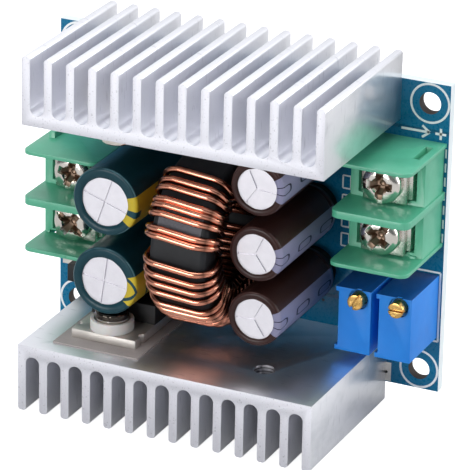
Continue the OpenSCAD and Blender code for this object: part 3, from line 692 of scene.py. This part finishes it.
def clamp_screw(node, body, turn):
    """A domed screw with a tapered cross recess and one slot right across, and a turned thread below."""
    extent = Extent(node)
    x = extent.mid_x
    z = extent.mid_z
    head = extent.half_x
    top = extent.low.y
    tip = extent.high.y
    tall = 2.1
    neck = 1.3
    thread_root = 1.2
    thread_crest = 1.45
    thread_pitch = 0.5
    dome = [(0, 0), (0.3, 0.005), (0.55, 0.04), (0.75, 0.15), (0.89, 0.36), (0.97, 0.66), (1.0, 1.0)]
    profile = [(head * share, top + depth) for share, depth in dome]
    under = top + tall
    profile += [(head, under - 0.12), (head - 0.1, under), (neck, under)]
    thread = under + 0.1
    while thread < tip - thread_pitch:
        profile += [(thread_root, thread), (thread_crest, thread + 0.2), (thread_crest, thread + 0.28)]
        thread += thread_pitch
    profile += [(thread_root, tip - 0.2), (0.9, tip)]
    blank = bmesh.new()
    turned(blank, x, z, profile, 64)
    angle = math.radians(turn)
    wing_rims = ((top - 0.3, 4.5, 1.3), (top + 1.45, 1.5, 0.7))
    slot_long = 2 * head + 1
    slot_rims = ((top - 0.3, slot_long, 0.95), (top + 0.62, slot_long, 0.8))
    cone = bmesh.new()
    turned(cone, x, z, [(0, top - 0.31), (1.45, top - 0.31), (0.35, top + 1.6), (0, top + 1.75)], 32)
    cutters = [
        tapered(x, z, angle, wing_rims),
        tapered(x, z, angle + math.pi / 2, wing_rims),
        cone,
        tapered(x, z, angle, slot_rims),
    ]
    return smoothed(node + "_turned", carved(blank, cutters), 0.05, 2, body, (node,))


terminal_green = moulded("terminal_green", "#46a580", "#5ab896", 0.3, 0.25, 0.008)
terminal_green.give("Specular IOR Level", 0.85)
contact_plate = plated("tinned_contact", "#c9c5bd", "#f0ece5", 0.2)
recess_tint = 0.92
recess_radius = 2.2
clamp_plate = Finish("nickel_plated_clamp_screw", metallic=1.0)
bright_nickel = clamp_plate.mix(clamp_plate.noise(1.6), ink("#d9d2c8"), ink("#f7f2ea"))
# The heads stand equally high, and the recess in each is coloured a darker brown.
screw_top = Extent("input_screw_upper").low.y
in_recess = (clamp_plate.y - screw_top).faded(0.25, 0.6)
screw_turns = {"input_upper": 75, "input_lower": -37, "output_upper": 90, "output_lower": 55}
recess_masks = []
for end in ("input", "output"):
    for level in ("upper", "lower"):
        screw = Extent("%s_screw_%s" % (end, level))
        side_x = clamp_plate.x - screw.mid_x
        side_z = clamp_plate.z - screw.mid_z
        recess_masks.append(side_x * side_x + side_z * side_z < recess_radius ** 2)
brown_recess = in_recess * any_of(recess_masks)
clamp_plate.give("Base Color", clamp_plate.mix(brown_recess * recess_tint, bright_nickel, ink("#7a604c")))
clamp_plate.give("Roughness", 0.11 + 0.1 * clamp_plate.noise(0.5) + 0.25 * brown_recess)
clamp_plate.relief(clamp_plate.noise(0.35), 0.008)
for end in ("input", "output"):
    terminal_green.coat(eased(end + "_terminal_housing", 0.14))
    contact_plate.coat(eased(end + "_terminal_contacts", 0.05))
    for level in ("upper", "lower"):
        way = end + "_" + level
        washer = eased("%s_washer_%s" % (end, level), 0.08, body=way + "_washer")
        contact_plate.coat(washer)
        clamp_plate.coat(clamp_screw("%s_screw_%s" % (end, level), way + "_screw", screw_turns[way]))
# The mould's gate left a small flat on the edge of each lowest divider, and a thin skin of plastic
# shuts the input housing's slot for a neighbour's tongue towards the wire's bay.
gate_half = 1.2
gate_wide = 0.3
skin_half = 0.6
skin_wide = 0.28
gates = bmesh.new()
# The output housing's tongue stands out 0.9 mm below its lowest divider.
for end, tongue_below in (("input", 0.0), ("output", 0.9)):
    housing = Extent(end + "_terminal_housing")
    gate_x = housing.mid_x
    gate_z = housing.low.z + 0.28 + tongue_below
    gate = bar(gate_x - gate_half, gate_z, gate_x + gate_half, gate_z, gate_wide)
    prism(gates, gate, housing.low.y - 0.1, housing.low.y + 0.2)
housing = Extent("input_terminal_housing")
skin_x = housing.low.x + 1.6
skin_z = housing.low.z + 0.4
skin = bar(skin_x - skin_half, skin_z, skin_x + skin_half, skin_z, skin_wide)
prism(gates, skin, face_y - 7.5, face_y - 6.6)
terminal_green.coat(made_piece("mould_gates", gates))

# Choke: a pressed powder ring, black, with a single layer of thick enamelled copper wire round it.
# The two ends of the wire leave the ring beside each other and go through the board.
core = Extent("choke_core")
core_middle = (core.low + core.high) / 2
core_radius = core.half_z
core_bore = 7.2
half_thick = core.half_x
core_black = moulded("pressed_powder_black", "#141518", "#26282c", 0.52, 0.12, 0.02)
core_black.give("Specular IOR Level", 0.35)
# A pale patch is painted on the rim a little above the middle, where the wire leaves it bare: a painted
# highlight of light from above.
rim_highlight_patch = (abs(core_black.x - core_middle.x) < half_thick - 0.9) * (core_black.ny < -0.6)
rim_highlight_patch *= abs(core_black.z - core_middle.z - 5.0) < 1.8
rim_highlight_patch *= 0.5 + 0.5 * core_black.noise(0.3)
core_black.give("Base Color", core_black.mix(rim_highlight_patch, core_black.tone, ink("#77777e")))
core_black.coat("choke_core")

wire_radius = 0.475
eye_gap = 0.25
rim_gap = 0.35
wire_side = half_thick + wire_radius * math.cos(math.pi / 8)
wire_inner = core_bore - eye_gap - wire_radius
wire_outer = core_radius + rim_gap + wire_radius
# Thick wire springs out where it is pulled round the ring's outer edges, and lies closer in the eye.
wire_spring = 0.45
outer_bend = 2.6
inner_bend = 1.3
end_angle = 7.0
rim_skew = 1.7
# Where the turns cross the rim. Those in front, round 360 degrees, are uneven as the winder left them.
rim_angles = [196 + 8.2 * i for i in range(9)]
rim_angles += [298.8, 307, 312.8, 321.2, 325.2, 331, 340.8, 345.5]
rim_angles += [364, 372, 379, 386.5, 398.8, 406.2, 411.8, 420.5]
rim_angles += [430 + 9.5 * i for i in range(10)]
turn_count = len(rim_angles) + 1
turn_step = (360 - 2 * end_angle) / turn_count


def round_ring(across, radius, angle):
    """A point by its place along the ring's axis, its distance from it and its angle from straight out."""
    turn = math.radians(angle)
    return core_middle + Vector((across, -radius * math.cos(turn), -radius * math.sin(turn)))


def wire_corner(across, radius, bend, start, stop, first_angle, last_angle, steps=8):
    """The bend of the wire over one edge of the ring, as points and the directions away from the core."""
    points = []
    for j in range(steps + 1):
        share = j / steps
        tilt = math.radians(start + (stop - start) * share)
        angle = first_angle + (last_angle - first_angle) * share
        sideways, outwards = math.cos(tilt), math.sin(tilt)
        place = round_ring(across + bend * sideways, radius + bend * outwards, angle)
        away = round_ring(sideways, outwards, angle) - core_middle
        points.append((place, away))
    return points


def wire_end(side, depths):
    """One straight end of the wire, along the ring's face and down through the board."""
    place_x = core_middle.x + side * wire_side
    place_z = core_middle.z + side * wire_outer * math.sin(math.radians(end_angle))
    return [(Vector((place_x, depth, place_z)), Vector((side, 0, 0))) for depth in depths]


eye_edge = wire_side - inner_bend
eye_level = wire_inner + inner_bend
rim_edge = wire_side + wire_spring - outer_bend
rim_level = wire_outer - outer_bend
tail_out = 1.0
tail_above_eye = 2.6
tail_depths = [back_y + tail_out, face_y, core_middle.y + wire_inner + tail_above_eye]
wire_path = wire_end(1, tail_depths)
for i in range(turn_count):
    inner = 180 + end_angle + (i + 0.5) * turn_step
    wire_path += wire_corner(eye_edge, eye_level, inner_bend, 360, 270, inner, inner)
    wire_path += wire_corner(-eye_edge, eye_level, inner_bend, 270, 180, inner, inner)
    if i < turn_count - 1:
        rim = rim_angles[i]
        near, far = rim - rim_skew, rim + rim_skew
        wire_path += wire_corner(-rim_edge, rim_level, outer_bend, 180, 90, near, near + 0.3 * rim_skew)
        wire_path += wire_corner(rim_edge, rim_level, outer_bend, 90, 0, far - 0.3 * rim_skew, far)
wire_path += wire_end(-1, tail_depths[::-1])

winding = bmesh.new()
wire_sides = 14
rings = []
for i, (place, away) in enumerate(wire_path):
    before = wire_path[max(i - 1, 0)][0]
    after = wire_path[min(i + 1, len(wire_path) - 1)][0]
    along = (after - before).normalized()
    aside = along.cross(away).normalized()
    outward = aside.cross(along)
    circle = []
    for k in range(wire_sides):
        turn = 2 * math.pi * k / wire_sides
        spoke = math.cos(turn) * outward + math.sin(turn) * aside
        circle.append(winding.verts.new((place + wire_radius * spoke) * MM))
    rings.append(circle)
for first, second in zip(rings, rings[1:]):
    for k in range(wire_sides):
        m = (k + 1) % wire_sides
        winding.faces.new((first[k], second[k], second[m], first[m])).smooth = True
winding.faces.new(rings[0])
winding.faces.new(rings[-1])
winding_piece = made_piece("choke_winding_wire", winding, "module", ("choke_winding",))
enamel = Finish("enamelled_copper", metallic=1.0, coat_weight=0.3, coat_roughness=0.12)
bright_wire = enamel.mix(enamel.noise(4.0, detail=1.0), ink("#d98160"), ink("#f4b096"))
# Shade is painted dark on the wire: darkest in the ring's eye, less so between the turns and least on its
# right face.
off_y = enamel.y - core_middle.y
off_z = enamel.z - core_middle.z
off_axis = enamel.math("SQRT", off_y * off_y + off_z * off_z)
off_rim = off_axis - core_radius - rim_gap
off_side = abs(enamel.x - core_middle.x) - half_thick
off_bore = core_bore - off_axis
shade_between_turns = 1 - (off_rim | off_side | off_bore).faded(0.2, 0.62)
right_face_shade = (enamel.x - core_middle.x).faded(half_thick - 0.2, half_thick + 0.2)
right_face_shade *= (core_radius - off_axis).faded(0.2, 1.0)
eye_shade = off_bore.faded(-0.6, 0.2)
painted_wire_shade = shade_between_turns * 0.7 | right_face_shade * 0.4 | eye_shade * 0.85
enamel.give("Base Color", enamel.mix(painted_wire_shade, bright_wire, ink("#3b1a0e")))
enamel.give("Roughness", 0.2 + 0.05 * enamel.noise(3.0, detail=0.0))
enamel.relief(enamel.noise(4.0, detail=0.0), 0.004)
enamel.coat(winding_piece)

# Capacitors: drawn aluminium cans with a pressed vent in the end, in a shrunk sleeve over the shoulder.
# The two input ones are teal with a yellow stripe, the three output ones brown with a lilac stripe.
can_finish = Finish("bright_drawn_aluminium", metallic=1.0)
can_finish.give("Base Color", can_finish.mix(can_finish.noise(1.5), ink("#dedce2"), ink("#f0eef4")))
can_finish.give("Roughness", 0.42 + 0.12 * can_finish.noise(0.5))
can_finish.relief(can_finish.noise(0.25), 0.006)
bung_finish = moulded("black_rubber", "#161616", "#262626", 0.7)


def shrunk_film(node):
    """A copy of a CAD sleeve whose lip over the can's end is a little uneven, as heat leaves it."""
    extent = Extent(node)
    middle = (extent.low + extent.high) / 2
    mesh = bmesh.new()
    mesh.from_mesh(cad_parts[node].data)
    bmesh.ops.remove_doubles(mesh, verts=mesh.verts, dist=1e-7)
    fade_wide = 0.25 * extent.half_x
    front = []
    for vertex in mesh.verts:
        if vertex.co.y / MM < extent.low.y + 0.5:
            front.append((vertex, Vector((vertex.co.x / MM - middle.x, vertex.co.z / MM - middle.z))))
    lip = min(out.length for vertex, out in front)
    for vertex, out in front:
        near_lip = max(0.0, 1 - (out.length - lip) / fade_wide)
        turn = math.atan2(out.y, out.x) + middle.z
        wave = 0.5 * math.sin(3 * turn) + 0.3 * math.sin(7 * turn + 1.0) + 0.2 * math.sin(13 * turn + 2.0)
        grown = 1 + 0.02 * wave * near_lip
        vertex.co.x = (middle.x + out.x * grown) * MM
        vertex.co.z = (middle.z + out.y * grown) * MM
    for face in mesh.faces:
        face.smooth = True
    piece = made_piece(node + "_film", mesh, "module", (node,))
    piece.data.set_sharp_from_angle(angle=math.radians(50))
    flat_lip = piece.modifiers.new("flat_lip", "WEIGHTED_NORMAL")
    flat_lip.weight = 100
    flat_lip.keep_sharp = True
    return piece


def sleeve(node, inks, stripe_middle, mark):
    """Shrunk sleeving: glossy, with a printed stripe along one side that carries a row of marks."""
    stripe_width = 57.5
    extent = Extent(node)
    low = extent.low
    radius = extent.half_x
    finish = Finish(node + "_film", specular_ior_level=0.25, coat_weight=0.06, coat_roughness=0.12)
    side_x = finish.x - extent.mid_x
    side_z = finish.z - extent.mid_z
    angle = finish.math("ARCTAN2", side_z, side_x) * (180 / math.pi)
    out = finish.math("SQRT", side_x * side_x + side_z * side_z)
    along = (finish.y - low.y) - (radius - out)
    across = (angle - stripe_middle) * (math.pi / 180 * radius)
    stripe = abs(angle - stripe_middle) < stripe_width / 2
    tone = finish.mix(finish.noise(1.8), ink(inks["dark"]), ink(inks["light"]))
    printed = finish.mix(stripe, tone, ink(inks["stripe"]))
    printed = finish.mix(stripe * mark(across, along), printed, ink(inks["mark"]))
    # A pale line is painted on the shoulder's edge, broken unevenly and kept off the stripe: a painted
    # highlight.
    shoulder_highlight = (out > radius - 0.2) * (finish.y < low.y + 0.25) * (1 - stripe)
    highlight_breaks = finish.noise(3.0, detail=1.0).faded(0.4, 0.6)
    finish.give("Base Color", finish.mix(shoulder_highlight * highlight_breaks * 0.5, printed, ink(inks["thin"])))
    finish.give("Roughness", 0.3 + 0.1 * finish.noise(0.6))
    finish.relief(finish.noise(0.8, (1.0, 4.0, 1.0)), 0.03)
    finish.coat(shrunk_film(node))


def minus_bar(across, along):
    """A solid minus, repeated along the stripe."""
    return (abs(across + 0.35) < 0.55) * ((along + 1.45) % 6.0 < 2.9)


def leaf_outline(across, along):
    """The outline of a pointed oval, repeated along the stripe."""
    step = (along + 4.6) % 6.4 - 3.2
    shape = (abs(across) / 2.7) ** 1.05 + (abs(step) / 1.9) ** 1.05
    return (shape < 1.0) * (shape > 0.68)


def minus_outline(across, along):
    """The outline of a rounded minus, repeated along the stripe."""
    step = (along + 3.4) % 7.4 - 3.7
    shape = (abs(across) / 0.66) ** 4 + (abs(step) / 2.25) ** 4
    return (shape < 1.0) * (shape > 0.4)


# The "thin" ink of each set is the painted highlight on a sleeve's shoulder.
teal_inks = {
    "dark": "#0f353f", "light": "#16444f", "thin": "#6f9aa5", "stripe": "#c9b233", "mark": "#16444f",
}
for level, mark in (("upper", minus_bar), ("lower", leaf_outline)):
    sleeve("input_sleeve_" + level, teal_inks, -10.5, mark)
    can_finish.coat("input_can_" + level)
brown_inks = {
    "dark": "#2a1614", "light": "#3c2320", "thin": "#6b5553", "stripe": "#8787a3", "mark": "#17152e",
}
for level, stripe_middle in (("upper", 4), ("middle", -6), ("lower", -4)):
    sleeve("output_sleeve_" + level, brown_inks, stripe_middle, minus_outline)
    can_finish.coat("output_can_" + level)
for end in ("input", "output"):
    bung_finish.coat(end + "_capacitor_bungs")
    tinned_lead.coat(end + "_capacitor_leads")


# Trimmers: two multi-turn resistors in blue moulded cases, soldered side by side under the output terminal.
# A slotted brass screw stands out of each case near its top.
def slotted_screw(node, body, turn):
    """A cheese-head screw turned from brass rod, with one thin sawn slot."""
    extent = Extent(node)
    x = extent.mid_x
    z = extent.mid_z
    reach = extent.half_x
    top = extent.low.y
    profile = [(0, top), (reach - 0.12, top), (reach - 0.03, top + 0.04), (reach, top + 0.14)]
    profile.append((reach, extent.high.y))
    blank = bmesh.new()
    turned(blank, x, z, profile, 48)
    slot_long = 2 * reach + 1
    slot_rims = ((top - 0.3, slot_long, 0.4), (top + 0.6, slot_long, 0.36))
    slot = tapered(x, z, math.radians(turn), slot_rims)
    return smoothed(node + "_turned", carved(blank, [slot]), 0.03, 2, body, (node,))


trimmer_blue = moulded("trimmer_blue", "#0c78d8", "#1488e6", 0.42, 0.2, 0.01)
# The upper side of a case is painted a darker blue than its front: painted shade from the output terminal
# above.
painted_top_shade = trimmer_blue.nz.faded(0.6, 0.8)
trimmer_blue.give("Base Color", trimmer_blue.mix(painted_top_shade, trimmer_blue.tone, ink("#0a4e96")))
brass = plated("turned_brass", "#c39547", "#e8c07c", 0.22)
for side, turn in (("left", 59), ("right", 2)):
    trimmer_blue.coat(eased(side + "_trimmer_case", 0.12))
    brass.coat(slotted_screw(side + "_trimmer_screw", side + "_adjuster", turn))
tinned_lead.coat("trimmer_pins")


# Small parts: a moulded diode beside the input, and the control chips and chip resistors on the solder side.
# They stand on folded or plated feet, soldered flat on the board.
def footed(name, node, along_x):
    """Black epoxy with tinned feet, which stand out beyond the body along X or along Z."""
    extent = Extent(node)
    finish = moulded(name, "#0c0c0e", "#1a1a1d", 0.5)
    if along_x:
        foot = abs(finish.x - extent.mid_x) > extent.half_x - 0.52
    else:
        foot = abs(finish.z - extent.mid_z) > extent.half_z - 1.06
    finish.give("Base Color", finish.mix(foot, finish.tone, ink("#d8d6d0")))
    finish.give("Metallic", foot)
    finish.give("Roughness", 0.5 - 0.22 * foot)
    finish.coat(eased(node, 0.06))


footed("diode_epoxy", "input_diode", True)
footed("control_chip_epoxy", "control_chip", False)
footed("amplifier_chip_epoxy", "amplifier_chip", False)

resistor = Extent("sense_resistor")
shunt_finish = moulded("shunt_resistor_lacquer", "#17181a", "#2b2c30", 0.4)
plated_end = abs(shunt_finish.x - resistor.mid_x) > resistor.half_x - 0.9
shunt_finish.give("Base Color", shunt_finish.mix(plated_end, shunt_finish.tone, ink("#d8d6d0")))
shunt_finish.give("Metallic", plated_end)
shunt_finish.coat(eased("sense_resistor", 0.05))

end_long = 0.4
body_inset = 0.3
chip_bodies = bmesh.new()
chip_ends = bmesh.new()
for low, high in chip_parts:
    mid_z = (low.z + high.z) / 2
    wide = high.z - low.z
    body = bar(low.x + body_inset, mid_z, high.x - body_inset, mid_z, wide - 0.06)
    prism(chip_bodies, body, low.y, high.y - 0.03)
    for x0, x1 in ((low.x, low.x + end_long), (high.x - end_long, high.x)):
        prism(chip_ends, bar(x0, mid_z, x1, mid_z, wide), low.y, high.y)
ceramic = moulded("chip_ceramic", "#7b6a55", "#a08c70", 0.5)
ceramic.coat(smoothed("chip_part_bodies", chip_bodies, 0.05, 2, "module", ("chip_parts",)))
tinned_lead.coat(smoothed("chip_part_ends", chip_ends, 0.07, 2, "module", ()))

# Solder joints: hand-soldered cones on the solder side, one round each lead's cut end.
# The solder has wetted the pad and climbed the lead in a hollow curve.
solder_curve = [(0.25, 0.02), (0.1, 0.06), (-0.05, 0.16), (-0.15, 0.33), (-0.2, 0.5), (-0.25, 0.75)]
solder_curve += [(-0.33, 0.92), (-0.45, 1.0)]
solder_cones = bmesh.new()
for low, high in lead_joints:
    middle = (low + high) / 2
    reach = (high.x - low.x) / 2
    tall = high.y - low.y
    profile = [(reach + out, back_y + share * tall) for out, share in solder_curve]
    turned(solder_cones, middle.x, middle.z, profile, 24)
solder_piece = made_piece("solder_cones", solder_cones, "module", ("solder_joints",))
solder_finish = plated("bright_solder", "#b7babc", "#e4e4e2", 0.16)
solder_finish.coat(solder_piece)
